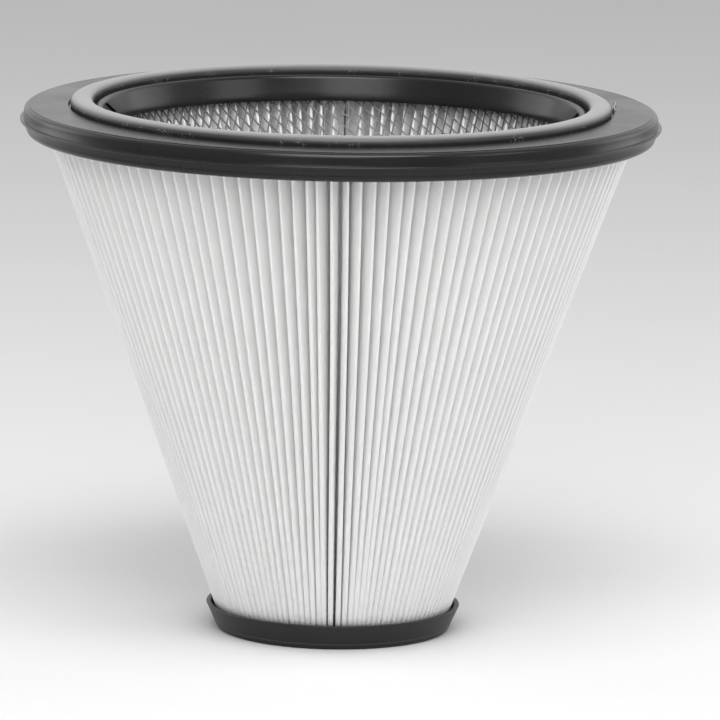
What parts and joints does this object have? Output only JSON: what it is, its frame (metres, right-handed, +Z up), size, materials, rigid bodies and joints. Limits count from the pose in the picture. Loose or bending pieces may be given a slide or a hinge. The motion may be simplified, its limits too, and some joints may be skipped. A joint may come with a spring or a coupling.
{
  "type": "vacuum pre-filter",
  "caption": "Conical pleated filter cartridge with a moulded top flange, a foam gasket, an inner support mesh and a closed dish at the narrow end.",
  "frame": {"origin": "centre of the flat base of the bottom cap, on the surface it stands on", "axes": "+Z up along the cone's axis, from the cap to the flange; -Y faces the picture's viewer, +X to the right"},
  "size_m": [0.3999, 0.4, 0.3354],
  "materials": {
    "flange": "smooth black moulded plastic with a satin face",
    "gasket": "light grey foamed sealing compound, smooth crown and pitted sides",
    "adhesive": "dark cast adhesive, glossy",
    "media": "white spunbonded nonwoven with a fine embossed diagonal pattern",
    "mesh": "galvanised expanded sheet, matt grey",
    "cap": "black moulded plastic, satin"
  },
  "bodies": {
    "root": {"top_flange": "flange", "sealing_gasket": "gasket", "upper_potting": "adhesive", "pleated_media": "media", "support_mesh": "mesh", "lower_potting": "adhesive", "bottom_cap": "cap"}
  },
  "joints": []
}
